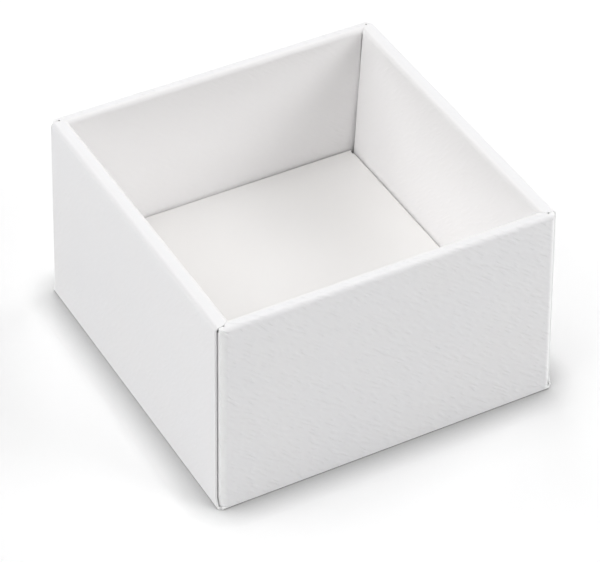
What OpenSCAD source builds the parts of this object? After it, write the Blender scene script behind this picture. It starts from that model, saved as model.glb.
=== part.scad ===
/* [Box] */
// Width of the box over its feet, left to right
body_w = 80; // [50:1:160]
// Depth of the box over its feet, front to back
body_d = 80; // [50:1:160]
// Height of the box
body_h = 47; // [36:0.5:90]
// How far each wall's top stands inside its foot
wall_lean = 0.9; // [0.1:0.1:2]

/* [Card] */
// Thickness of the card
card_t = 0.45; // [0.3:0.05:0.6]
// Inside radius of the creases round the base
foot_bend = 0.2; // [0.1:0.05:0.8]
// Inside radius of the upright corner folds
corner_bend = 1; // [0.1:0.05:1.2]

/* [Rim] */
// Width of the rolled rims on the front and back walls
rim_w = 3.1; // [2.5:0.1:6]
// Width of the rolled rims on the side walls
side_rim_w = 3.7; // [2.6:0.1:6]
// Inside radius of the two rim creases
rim_bend = 0.55; // [0.2:0.05:0.7]
// Gap between two rims where they meet at a mitre
rim_gap = 0.05; // [0.05:0.05:0.4]
// Gap between a side rim's end and the folded corner in front of it
cap_gap = 0.12; // [0.05:0.01:0.3]
// Diameter of the hole punched where that gap meets the mitre
notch_d = 0.5; // [0.2:0.05:0.8]

/* [Inner panels] */
// How far the front and back inner panels' feet stand inside their tops
inner_lean = 2.9; // [0.2:0.1:6]
// How far the side inner panels' feet stand inside their tops
side_inner_lean = 4.8; // [0.2:0.1:6]
// Gap between two inner panels in a corner
inner_gap = 0.2; // [0.1:0.05:1]
// Gap under an inner panel's foot
foot_gap = 0.25; // [0.1:0.05:1]

/* [Corners] */
// Length of the tucked corner tabs
tab_l = 13; // [5:0.5:20]
// Height that a tab loses at its top and at its bottom towards its end
tab_taper = 3; // [0.5:0.5:8]
// Gap between a tab and the side wall that covers it
tuck_gap = 0.25; // [0.1:0.05:0.5]
// How far a side wall's cut edge stands back from the corner
seam_back = 1.6; // [1.4:0.05:3]
// Height over which that edge runs out to the foot
seam_flare = 2.5; // [1:0.5:8]
// Gap between a corner fold and the crease below it
relief_cut = 0.12; // [0.05:0.01:0.25]

/* [Platform] */
// Height of the raised floor above the table
floor_h = 17; // [8:0.1:30]
// Gap between the platform and the inner panels
platform_gap = 0.3; // [0.1:0.05:1]
// Inside radius of the platform's creases
platform_bend = 0.15; // [0.05:0.05:0.8]
// Slit between two platform legs in a corner
leg_gap = 0.7; // [0.4:0.05:2]

/* [Hidden] */
$fn = 64;

// Outside radii of the creases
foot_r = foot_bend + card_t;
corner_r = corner_bend + card_t;
rim_r = rim_bend + card_t;
platform_r = platform_bend + card_t;

// Crease centres of a wall's section, as distance in from the foot and height
foot_c = [foot_r, foot_r];
rim_out_c = [wall_lean + rim_r, body_h - rim_r];

// Lean and length of the outer panels between their creases
rise = rim_out_c - foot_c;
lean_a = 90 - atan2(rise.y, rise.x) + asin((foot_r - rim_r) / norm(rise));
outer_l = sqrt(rise * rise - pow(foot_r - rim_r, 2));

// Height at which the inner panels' feet hang just above the base
panel_foot = card_t + foot_gap;

// Where the tabs and their folds lie inside the side walls
tab_in = card_t + tuck_gap;
fold_in = tab_in + corner_r;
fold_foot = foot_r + relief_cut;
front_foot_in = foot_r + tuck_gap;

// Overlap that joins two stretches of the same sheet
lap = 0.6;
// A crease runs on into the stretch at each of its ends by this much, over the middle third of the card
crease_run = 0.05;
third = card_t / 3;
// Step from a rim's face down to the corner fold that it caps
cap_step = card_t / 4;
// How far cutting shapes run past the card
past = 1;
// Reach of the mitre cuts towards the middle
mitre_reach = wall_lean + max(rim_w, side_rim_w) + max(inner_lean, side_inner_lean) + past;

// Length of side k, and the box's size across it
function span(k) = k % 2 == 0 ? body_w : body_d;
function across(k) = k % 2 == 0 ? body_d : body_w;

// Width of the rim on side k, and how far along that side its mitres run for each step inwards
function rim(k) = k % 2 == 0 ? rim_w : side_rim_w;
function mitre_run(k) = (wall_lean + rim(k + 1)) / (wall_lean + rim(k));

// Depth in from the foot of the part of side k's rim that runs past its mitres to cap the corner folds
function cap_depth(k) = k % 2 == 0 ? face_in(body_h, seam_back) - cap_gap : 0;

// Crease centre, slope and length of the inner panel on side k
function rim_in_c(k) = [wall_lean + rim(k) - rim_r, body_h - rim_r];
function in_a(k) = atan((k % 2 == 0 ? inner_lean : side_inner_lean) / (rim_in_c(k).y - panel_foot));
function inner_l(k) = (rim_in_c(k).y + rim_bend * sin(in_a(k)) - panel_foot) / cos(in_a(k));

// Distance in from the foot, at height z, of the plane that lies d inside the outer panel's face
function face_in(z, d) = foot_r + (d - foot_r + sin(lean_a) * (z - foot_r)) / cos(lean_a);

// Distance in from the foot, at height z, of the plane that lies d beyond side k's inner face
function inner_in(k, z, d) = rim_in_c(k).x + (rim_r + d + sin(in_a(k)) * (rim_in_c(k).y - z)) / cos(in_a(k));

// Straight stretch of card in section; its children go on from its end
module strip(l) {
    square([l, card_t]);
    translate([l, 0]) children();
}

// Middle of the card, where a crease and the straight stretch next to it overlap
module crease_end() {
    translate([-crease_run, third]) square([2 * crease_run, third]);
}

// Crease of angle a and inside radius r in section; its children go on beyond it
module bend(a, r) {
    c = r + card_t;
    far = 3 * c;
    translate([0, c]) intersection() {
        difference() {
            circle(c);
            circle(r);
        }
        translate([0, -far]) square([far, 2 * far]);
        rotate(a) translate([-far, -far]) square([far, 2 * far]);
    }
    crease_end();
    translate([0, c]) rotate(a) translate([0, -c]) {
        crease_end();
        children();
    }
}

// Section through the wall on side k: base, foot crease, outer panel, rolled rim and inner panel
module wall_profile(k) {
    mirror([1, 0]) translate([-foot_r - lap, 0])
        strip(lap) bend(90 + lean_a, foot_bend) strip(outer_l) bend(90 - lean_a, rim_bend)
        strip(rim(k) - 2 * rim_r) bend(90 - in_a(k), rim_bend) strip(inner_l(k));
}

// Runs a section along side k
module along(k) {
    rotate([90, 0, 90]) linear_extrude(span(k) + 2 * past, center = true) children();
}

// Runs a flat outline through a wall
module through() {
    translate([0, mitre_reach, 0]) rotate([90, 0, 0]) linear_extrude(mitre_reach + past) children();
}

// Plan of side k, mitred at its ends to leave the given gap to its neighbours
module mitre_plan(k, gap) {
    run = mitre_run(k);
    half = span(k) / 2 - gap / 2 * norm([1, run]);
    polygon([
        [-half - past, -past], [half + past, -past], [half, 0],
        [half - run * mitre_reach, mitre_reach], [-half + run * mitre_reach, mitre_reach], [-half, 0]
    ]);
}

// Room for side k: the whole foot, then a wide gap to the next inner panel and a fine one to the next rim
module mitre_space(k) {
    split = body_h - rim_r;
    linear_extrude(panel_foot) translate([-span(k) / 2, -past]) square([span(k), mitre_reach + past]);
    translate([0, 0, panel_foot]) linear_extrude(split - panel_foot) mitre_plan(k, inner_gap);
    translate([0, 0, split]) linear_extrude(rim_r + past) {
        mitre_plan(k, rim_gap);
        translate([-span(k) / 2, -past]) square([span(k), past + cap_depth(k)]);
    }
}

// Outline of a side wall: its cut edges lean with the corner and run out at the foot
module side_outline() {
    top_z = body_h + past;
    foot = body_d / 2 - foot_r;
    knee = body_d / 2 - face_in(seam_flare, seam_back);
    top = body_d / 2 - face_in(top_z, seam_back);
    polygon([[-foot, 0], [foot, 0], [knee, seam_flare], [top, top_z], [-top, top_z], [-knee, seam_flare]]);
}

// Outline of the front and back walls: their rims run on over the corner folds
module front_outline() {
    half = body_w / 2;
    top_z = body_h + past;
    rim_z = body_h - rim_r - relief_cut;
    foot = half - front_foot_in;
    low = half - face_in(fold_foot, fold_in) - lap / 2;
    high = half - face_in(rim_z, fold_in) - lap / 2;
    cap = half - face_in(rim_z, tab_in + cap_step);
    cap_top = half - face_in(top_z, tab_in + cap_step);
    polygon([
        [-foot, 0], [foot, 0], [foot, foot_r], [low, foot_r], [high, rim_z], [cap, rim_z], [cap_top, top_z],
        [-cap_top, top_z], [-cap, rim_z], [-high, rim_z], [-low, foot_r], [-foot, foot_r]
    ]);
}

// Wall on side k, trimmed to the outline given as its child
module wall(k) {
    intersection() {
        along(k) wall_profile(k);
        through() children();
        mitre_space(k);
    }
}

// Plane of the front panel, from its foot crease upwards
module on_front_panel() {
    translate([0, foot_r, foot_r]) rotate([90 - lean_a, 0, 0]) translate([0, 0, foot_r]) children();
}

// Runs a plan up the corner fold at the front wall's right end, from height low
// The plan's X runs along the wall and its Y inwards
module up_corner_fold(low) {
    axis_z = foot_r + (foot_r - corner_r) * sin(lean_a);
    fold_x = body_w / 2 - face_in(axis_z, fold_in);
    on_front_panel() translate([fold_x, -past, 0]) rotate(atan(sin(lean_a))) translate([0, low, 0])
        rotate([-90, 0, 0]) linear_extrude(body_h + 2 * past - low) children();
}

// Outline of a corner fold and its tab, seen from the side
module tab_outline() {
    tab_top = body_h - rim_r - tuck_gap;
    cap_top = body_h - cap_step;
    low = face_in(fold_foot, seam_back - tuck_gap);
    high = face_in(tab_top, seam_back - tuck_gap);
    end = face_in(0, corner_r) + tab_l + past;
    polygon([
        [-past, fold_foot], [low, fold_foot], [end, fold_foot + tab_taper], [end, tab_top - tab_taper],
        [high, tab_top], [high, cap_top], [-past, cap_top]
    ]);
}

// Corner fold at the right end of the front wall, with the tab that tucks into the side wall
module corner_tab() {
    room = lap + corner_r + wall_lean + 2 * past;
    top_r = rim_r - cap_step;
    difference() {
        intersection() {
            up_corner_fold(0) translate([-lap, 0])
                strip(lap) bend(acos(pow(sin(lean_a), 2)), corner_bend) strip(tab_l);
            translate([body_w / 2 - fold_in - room, 0, 0]) rotate([90, 0, 90])
                linear_extrude(room + fold_in) tab_outline();
        }
        translate([body_w / 2 - fold_in - room, rim_out_c.x, rim_out_c.y]) rotate([90, 0, 90])
            linear_extrude(room + fold_in) difference() {
                translate([-rim_r - past, 0]) square([rim_r + past, rim_r + past]);
                circle(top_r);
            }
    }
}

// What is cut off the front rim's right end to round it over the corner fold
module rim_rounding() {
    up_corner_fold(body_h / 2) difference() {
        translate([0, -past]) square([corner_r + past, corner_r + past]);
        translate([0, corner_r]) circle(corner_r - cap_step);
    }
}

// Places its children on side k, whose foot then lies along the local X axis
module on_side(k) {
    rotate(90 * k) translate([0, -across(k) / 2, 0]) children();
}

// Base plate between the foot creases
module base() {
    translate([-body_w / 2 + foot_r, -body_d / 2 + foot_r, 0])
        cube([body_w - 2 * foot_r, body_d - 2 * foot_r, card_t]);
}

// Holes through the rims where each side rim's end meets a mitre
module notch_holes() {
    in_y = face_in(body_h, seam_back) - cap_gap / 2;
    in_x = in_y * mitre_run(0);
    for (a = [0, 1], b = [0, 1]) mirror([a, 0, 0]) mirror([0, b, 0])
        translate([body_w / 2 - in_x, body_d / 2 - in_y, body_h - rim_r])
            cylinder(h = rim_r + past, d = notch_d);
}

// The tray is one sheet of card
module box_tray() {
    color("whitesmoke") difference() {
        tray_walls();
        notch_holes();
    }
}

// Base and four walls of the tray
module tray_walls() {
    base();
    for (k = [0, 2]) on_side(k) {
        difference() {
            wall(k) front_outline();
            for (m = [0, 1]) mirror([m, 0, 0]) rim_rounding();
        }
        for (m = [0, 1]) mirror([m, 0, 0]) corner_tab();
    }
    for (k = [1, 3]) on_side(k) wall(k) side_outline();
}

// Distance in from the foot of the platform's crease along side k
function platform_in(k) = inner_in(k, floor_h - platform_r, platform_gap + platform_r);

// Section through the platform along side k: top, crease and leg
module platform_profile(k) {
    translate([platform_in(k) + lap, floor_h]) rotate(180)
        strip(lap) bend(90 + in_a(k), platform_bend) strip(floor_h);
}

// The raised floor is a second sheet, with four legs folded down
module raised_platform() {
    half_w = body_w / 2 - platform_in(1);
    half_d = body_d / 2 - platform_in(0);
    color("floralwhite") {
        translate([-half_w, -half_d, floor_h - card_t]) cube([2 * half_w, 2 * half_d, card_t]);
        for (k = [0:3]) on_side(k) intersection() {
            along(k) platform_profile(k);
            translate([0, 0, card_t]) linear_extrude(floor_h) mitre_plan(k, leg_gap);
        }
    }
}

box_tray();
raised_platform();
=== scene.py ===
# %% [markdown]
# # Folded card gift box
# The real box is two sheets of white card. One is folded into a tray with double walls and rolled rims.
# The other is a smooth platform that stands in the tray and makes its raised floor.
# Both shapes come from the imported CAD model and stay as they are, because they already have every fold.
# This lesson gives them their card, and sets up the camera, the table and the light.

# %% Load the frame
import math

import bpy
from mathutils import Matrix, Vector

MM = 0.001

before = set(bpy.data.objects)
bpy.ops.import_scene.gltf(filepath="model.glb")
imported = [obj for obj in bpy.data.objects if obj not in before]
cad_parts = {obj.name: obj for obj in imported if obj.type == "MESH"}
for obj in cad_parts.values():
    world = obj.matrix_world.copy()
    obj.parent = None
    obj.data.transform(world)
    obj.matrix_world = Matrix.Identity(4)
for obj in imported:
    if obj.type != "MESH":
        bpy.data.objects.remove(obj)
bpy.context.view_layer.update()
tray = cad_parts["box_tray"]
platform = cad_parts["raised_platform"]
for name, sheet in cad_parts.items():
    print("loaded", name, len(sheet.data.vertices), "vertices")

# %% [markdown]
# ## Camera
# The photograph looks down on the front corner from far away, so the box's edges stay nearly parallel.
# A long lens does the same. Its place was found by laying the model's edges on the photograph's edges.
# The camera is also rolled by half a degree, because the box's upright edges lean a little in the picture.

# %% Camera
LENS = 182.96
SENSOR_WIDTH = 36
CAMERA_AT = Vector((-240.48, -436.52, 434.39)) * MM
LOOK_AT = Vector((0.07, -0.65, 16.36)) * MM
CAMERA_ROLL = 0.46


def photo_camera(at, target, roll, lens):
    """Adds a camera that looks from one point to another, turned about its own axis by some degrees."""
    bpy.ops.object.select_all(action="DESELECT")
    bpy.ops.object.camera_add()
    camera = bpy.context.object
    camera.name = "photo_camera"
    camera.data.lens = lens
    camera.data.sensor_width = SENSOR_WIDTH
    turn = (target - at).to_track_quat("-Z", "Y").to_matrix().to_4x4()
    camera.matrix_world = Matrix.Translation(at) @ turn @ Matrix.Rotation(math.radians(roll), 4, "Z")
    bpy.context.scene.camera = camera


photo_camera(CAMERA_AT, LOOK_AT, CAMERA_ROLL, LENS)
print("camera stands", round((LOOK_AT - CAMERA_AT).length, 3), "m away")

# %% [markdown]
# ## Shader helpers
# A material is a chain of nodes. Adding a node, setting it and linking it always goes the same way,
# so one function does all three, for every kind of node. A second turns screen colours into shader values.

# %% Shader helpers


def srgb(hex_code):
    """Turns a screen colour such as "f2f2f0" into the linear values that a shader takes."""
    values = [int(hex_code[i : i + 2], 16) / 255 for i in (0, 2, 4)]
    return [v / 12.92 if v <= 0.04045 else ((v + 0.055) / 1.055) ** 2.4 for v in values] + [1]


def new_material(name):
    """Makes a node material and returns it with its shader node."""
    material = bpy.data.materials.new(name)
    material.use_nodes = True
    return material, material.node_tree.nodes["Principled BSDF"]


def plug(owner, made, inputs):
    """Sets or links a node's inputs, which are named, or counted from 0."""
    for key, value in inputs.items():
        if isinstance(value, bpy.types.NodeSocket):
            owner.node_tree.links.new(value, made.inputs[key])
        else:
            made.inputs[key].default_value = value


def node(owner, kind, inputs=(), out=0, **settings):
    """Adds a node to a material or a world, with its settings and links, and returns one of its outputs."""
    made = owner.node_tree.nodes.new("ShaderNode" + kind)
    for key, value in settings.items():
        setattr(made, key, value)
    plug(owner, made, inputs if isinstance(inputs, dict) else dict(enumerate(inputs)))
    return made.outputs[out]


print("white on screen is", srgb("ffffff"), "in a shader")

# %% [markdown]
# ## Unfolding the box
# The emboss was rolled into the flat sheet before the box was folded, so its strokes turn with the walls.
# A pattern drawn straight on the walls would break at each fold. So the shader unfolds the box first:
# it adds up how far along the sheet a point lies, out over the base, up the wall, and down again inside.
# A UV map could hold the same places, but sums on Object coordinates leave the CAD mesh alone.

# %% Unfold the box
BOX_HALF = 40 * MM
BOX_HEIGHT = 47 * MM
WALL_LEAN = math.tan(math.radians(0.9))


def flat_sheet(material):
    """Returns a point's place on the sheet, if it is on a side wall, if it is inside, and how far a fold is."""
    point = node(material, "TexCoord", out="Object")
    x, y, z = (node(material, "SeparateXYZ", (point,), out=axis) for axis in range(3))
    normal = node(material, "TexCoord", out="Normal")
    far_x = node(material, "Math", (x,), operation="ABSOLUTE")
    far_y = node(material, "Math", (y,), operation="ABSOLUTE")
    on_side = node(material, "Math", (far_x, far_y), operation="GREATER_THAN")
    farthest = node(material, "Math", (far_x, far_y), operation="MAXIMUM")
    inset = node(material, "Math", (BOX_HALF, farthest), operation="SUBTRACT")
    # A face inside the box looks back at the middle, so its normal points against its own place.
    level = node(material, "VectorMath", (point, (1, 1, 0)), operation="MULTIPLY")
    outward = node(material, "VectorMath", (normal, level), out="Value", operation="DOT_PRODUCT")
    inside = node(material, "Math", (outward, 0.0), operation="LESS_THAN")
    up = node(material, "Math", (z, inset), operation="ADD")
    top = node(material, "Math", (inset, 2 * BOX_HEIGHT), operation="ADD")
    down = node(material, "Math", (top, z), operation="SUBTRACT")
    climb = node(material, "Mix", {0: inside, 2: up, 3: down})
    reach = node(material, "Math", (climb, BOX_HALF), operation="ADD")
    toward_x = node(material, "Math", (x,), operation="SIGN")
    toward_y = node(material, "Math", (y,), operation="SIGN")
    flat_x = node(material, "Math", (toward_x, reach), operation="MULTIPLY")
    flat_y = node(material, "Math", (toward_y, reach), operation="MULTIPLY")
    front = node(material, "CombineXYZ", (x, flat_y))
    side = node(material, "CombineXYZ", (flat_x, y))
    place = node(material, "Mix", {0: on_side, 4: front, 5: side}, out=1, data_type="VECTOR")
    # Both X and Y are large only at an upright corner, which leans inward as it rises.
    corner = node(material, "Math", (far_x, far_y), operation="MINIMUM")
    upright = node(material, "Math", (z, WALL_LEAN, corner), operation="MULTIPLY_ADD")
    fold_away = node(material, "Math", (BOX_HALF, upright), operation="SUBTRACT")
    return place, on_side, inside, fold_away


print("the flat sheet runs", round(1000 * (BOX_HALF + 2 * BOX_HEIGHT)), "mm out from the middle")

# %% [markdown]
# ## Embossed card
# The tray is white paperboard with a silk emboss: short slanting ridges that a steel roller pressed in.
# They give the eye broken light and dark strokes, clear on the front and back and faint elsewhere.
# Noise that is stretched along the strokes draws them. A wave texture would be too even for rolled paper.
# The finest real strokes are about 0.6 mm apart, and are drawn a little coarser, so that the render shows them.

# %% Emboss
STROKE_TURN = math.radians(-39)
STROKE_LENGTH = 3.2 * MM
STROKE_PITCH = 0.75 * MM
STROKE_EDGES = (0.42, 0.6)
PATCH_WIDTH = 2.4 * MM
PATCH_EDGES = (0.4, 0.62)
WEAKEST_PATCH = 0.2
FAINT_WALLS = 0.22
EMBOSS_DEPTH = 0.11 * MM
STROKE_SHARE, FIBRE_SHARE = 0.8, 0.06


def emboss(material, place, on_side, inside, fibres):
    """Returns a bumped normal with pressed strokes, which come and go in patches, and the paper's fibres."""
    turned = node(material, "Mapping", {"Vector": place, "Rotation": (0, 0, STROKE_TURN)})
    stretch = (1 / STROKE_LENGTH, 1 / STROKE_PITCH, 1)
    along = node(material, "Mapping", {"Vector": turned, "Scale": stretch})
    ridge = node(material, "TexNoise", {"Vector": along, "Scale": 1.0, "Detail": 0.5, "Roughness": 0.5})
    stroke = node(material, "MapRange", (ridge, *STROKE_EDGES, 0.0, 1.0))
    patch = node(material, "TexNoise", {"Vector": place, "Scale": 1 / PATCH_WIDTH, "Detail": 1.0})
    pressed = node(material, "MapRange", (patch, *PATCH_EDGES, WEAKEST_PATCH, 1.0))
    calm = node(material, "Math", (on_side, inside), operation="MAXIMUM")
    strength = node(material, "MapRange", (calm, 0.0, 1.0, 1.0, FAINT_WALLS))
    stroke = node(material, "Math", (stroke, pressed), operation="MULTIPLY")
    stroke = node(material, "Math", (stroke, strength), operation="MULTIPLY")
    stroke = node(material, "Math", (stroke, STROKE_SHARE), operation="MULTIPLY")
    height = node(material, "Math", (fibres, FIBRE_SHARE, stroke), operation="MULTIPLY_ADD")
    return node(material, "Bump", {"Strength": 1.0, "Distance": EMBOSS_DEPTH, "Height": height})


print("strokes are", round(1000 * STROKE_LENGTH, 1), "mm long and", round(1000 * STROKE_PITCH, 2), "mm apart")

# %% Card colour, painted bounce light and painted fold highlight
COOL_WHITE, SOFT_WHITE = srgb("f4f4f6"), srgb("f6f5f5")
# Inside the box the white is painted warmer: painted bounce light from the warm platform floor.
PAINTED_BOUNCE_WHITE = srgb("f7f6f6")
# The corner folds are painted whiter: a painted highlight where the rounded fold catches the light.
FOLD_HIGHLIGHT_WHITE = srgb("ffffff")
CLOUD_WIDTH = 22 * MM
HIGHLIGHT_FULL, HIGHLIGHT_END = 1.3 * MM, 2.1 * MM


def card_colour_and_painted_light(material, place, inside, fold_away):
    """Returns a slightly clouded white, with painted warm bounce light inside the box, and a painted highlight
    along the corner folds.
    """
    cloud = node(material, "TexNoise", {"Vector": place, "Scale": 1 / CLOUD_WIDTH, "Detail": 3.0})
    outside = node(material, "Mix", {0: cloud, 6: COOL_WHITE, 7: SOFT_WHITE}, out=2, data_type="RGBA")
    # Painted warm bounce light on every face inside the box.
    card = node(material, "Mix", {0: inside, 6: outside, 7: PAINTED_BOUNCE_WHITE}, out=2, data_type="RGBA")
    # Painted highlight: full near each upright corner fold, fading out a little farther away.
    painted_fold_highlight = node(material, "MapRange", (fold_away, HIGHLIGHT_FULL, HIGHLIGHT_END, 1.0, 0.0))
    return node(material, "Mix", {0: painted_fold_highlight, 6: card, 7: FOLD_HIGHLIGHT_WHITE}, out=2, data_type="RGBA")


# The printed width is that of the painted highlight along the folds.
print("folds are rubbed pale for", round(1000 * HIGHLIGHT_FULL, 1), "mm")

# %% Embossed card
FIBRE_WIDTH = 0.28 * MM
NOISE_MIDDLE = (0.3, 0.7)
EMBOSSED_ROUGHNESS = (0.62, 0.74)


def embossed_card():
    """Matte white paperboard with a broken, slanting silk emboss."""
    material, shader = new_material("embossed_card")
    place, on_side, inside, fold_away = flat_sheet(material)
    fibres = node(material, "TexNoise", {"Vector": place, "Scale": 1 / FIBRE_WIDTH, "Detail": 2.0})
    finish = {
        "Base Color": card_colour_and_painted_light(material, place, inside, fold_away),
        "Normal": emboss(material, place, on_side, inside, fibres),
        "Roughness": node(material, "MapRange", (fibres, *NOISE_MIDDLE, *EMBOSSED_ROUGHNESS)),
        "Specular IOR Level": 0.35,
    }
    plug(material, shader, finish)
    return material


tray.data.materials.clear()
tray.data.materials.append(embossed_card())
print(tray.name, "is now", tray.data.materials[0].name)

# %% [markdown]
# ## Smooth card
# The platform is plain coated card. Its coating hides the fibres, so the eye sees one calm, warm white,
# with a very fine grain and a slow sway where the sheet isn't quite flat. Two layers of noise give both.

# %% Smooth card
WARM_WHITE, PALE_WHITE = srgb("f6f4f2"), srgb("f8f7f6")
COATING_GRAIN = 0.35 * MM
SWAY_WIDTH = 25 * MM
SWAY_DEPTH = 0.3 * MM
GRAIN_SHARE = 0.02
SMOOTH_ROUGHNESS = (0.5, 0.6)


def smooth_card():
    """White card with only the fine grain of its coating."""
    material, shader = new_material("smooth_card")
    place = node(material, "TexCoord", out="Object")
    grain = node(material, "TexNoise", {"Vector": place, "Scale": 1 / COATING_GRAIN, "Detail": 3.0})
    sway = node(material, "TexNoise", {"Vector": place, "Scale": 1 / SWAY_WIDTH, "Detail": 1.0})
    height = node(material, "Math", (grain, GRAIN_SHARE, sway), operation="MULTIPLY_ADD")
    finish = {
        "Base Color": node(material, "Mix", {0: sway, 6: WARM_WHITE, 7: PALE_WHITE}, out=2, data_type="RGBA"),
        "Normal": node(material, "Bump", {"Strength": 1.0, "Distance": SWAY_DEPTH, "Height": height}),
        "Roughness": node(material, "MapRange", (grain, *NOISE_MIDDLE, *SMOOTH_ROUGHNESS)),
        "Specular IOR Level": 0.4,
    }
    plug(material, shader, finish)
    return material


platform.data.materials.clear()
platform.data.materials.append(smooth_card())
print(platform.name, "is now", platform.data.materials[0].name)

# %% [markdown]
# ## Table
# The box stands on a wide white table, which is only staging. The photograph keeps a dark, soft shadow
# right at the foot of the walls, deeper than soft lamps give. So the table darkens close to the box,
# and away from it turns plain white. Only the camera sees either, so the light on the box stays even.

# %% Table
TABLE_WIDTH = 6
TABLE_WHITE = srgb("fafafa")
CONTACT_REACH = 8 * MM
CONTACT_DEPTH = 1.15
PLAIN_FROM, PLAIN_AT = 0.3, 0.7
NEAR_GLOW, FAR_GLOW = 0.1, 1.0


def table_top():
    """Adds a wide white table under the box, and stages it."""
    bpy.ops.object.select_all(action="DESELECT")
    bpy.ops.mesh.primitive_plane_add(size=TABLE_WIDTH)
    top = bpy.context.object
    top.name = "table_top"
    material, shader = new_material("white_table")
    seen = node(material, "LightPath", out="Is Camera Ray")
    unseen = node(material, "Math", (1.0, seen), operation="SUBTRACT")
    near = node(material, "AmbientOcclusion", {"Distance": CONTACT_REACH}, out="AO")
    contact = node(material, "Math", (near, CONTACT_DEPTH), operation="POWER")
    open_table = node(material, "Math", (contact, unseen), operation="MAXIMUM")
    point = node(material, "TexCoord", out="Object")
    away = node(material, "VectorMath", (point,), out="Value", operation="LENGTH")
    glow = node(material, "MapRange", (away, PLAIN_FROM, PLAIN_AT, NEAR_GLOW, FAR_GLOW))
    shaded = {0: open_table, 6: (0, 0, 0, 1), 7: TABLE_WHITE}
    finish = {
        "Base Color": node(material, "Mix", shaded, out=2, data_type="RGBA"),
        "Roughness": 0.9,
        "Specular IOR Level": 0.1,
        "Emission Color": (1, 1, 1, 1),
        "Emission Strength": node(material, "Math", (seen, glow), operation="MULTIPLY"),
    }
    plug(material, shader, finish)
    top.data.materials.append(material)


table_top()
print("table is", TABLE_WIDTH, "m wide")

# %% [markdown]
# ## Light
# The photograph has soft studio light from all round, strongest from the right, and no sharp shadow.
# Eight square lamps stand round the box and face it. Pictures with one lamp lit at a time gave each its power,
# so that every wall and rim comes out as bright as in the photograph. The room is white for the camera alone.

# %% Light
BOX_MIDDLE = Vector((0, 0, 20 * MM))
LAMP_WIDTH = 0.8
SOFT_BOXES = (
    ("left", (-1.2, -0.1, 0.7), 2.95),
    ("back left", (-0.9, 0.9, 0.9), 4.23),
    ("front left", (-0.9, -0.9, 0.9), 2.01),
    ("front right", (0.9, -0.9, 0.8), 9.01),
    ("right", (1.2, 0.1, 0.7), 6.67),
    ("back", (0.1, 1.3, 0.8), 3.07),
    ("high left", (-0.6, 0, 1.2), 5.3),
    ("high back", (0, 0.6, 1.2), 3.3),
)


def soft_box(name, at, power):
    """Adds a square lamp that faces the box."""
    bpy.ops.object.select_all(action="DESELECT")
    bpy.ops.object.light_add(type="AREA", location=at)
    lamp = bpy.context.object
    lamp.name = name
    lamp.data.size = LAMP_WIDTH
    lamp.data.energy = power
    lamp.rotation_euler = (BOX_MIDDLE - Vector(at)).to_track_quat("-Z", "Y").to_euler()


def white_room():
    """Shows the camera plain white behind the table, and adds no light."""
    room = bpy.data.worlds.new("white_room")
    bpy.context.scene.world = room
    room.use_nodes = True
    seen = node(room, "LightPath", out="Is Camera Ray")
    plug(room, room.node_tree.nodes["Background"], {"Color": (1, 1, 1, 1), "Strength": seen})


white_room()
for name, at, power in SOFT_BOXES:
    soft_box(name, at, power)
bpy.context.scene.view_settings.view_transform = "Standard"
print(len(SOFT_BOXES), "lamps give", round(sum(power for _, _, power in SOFT_BOXES), 1), "W")
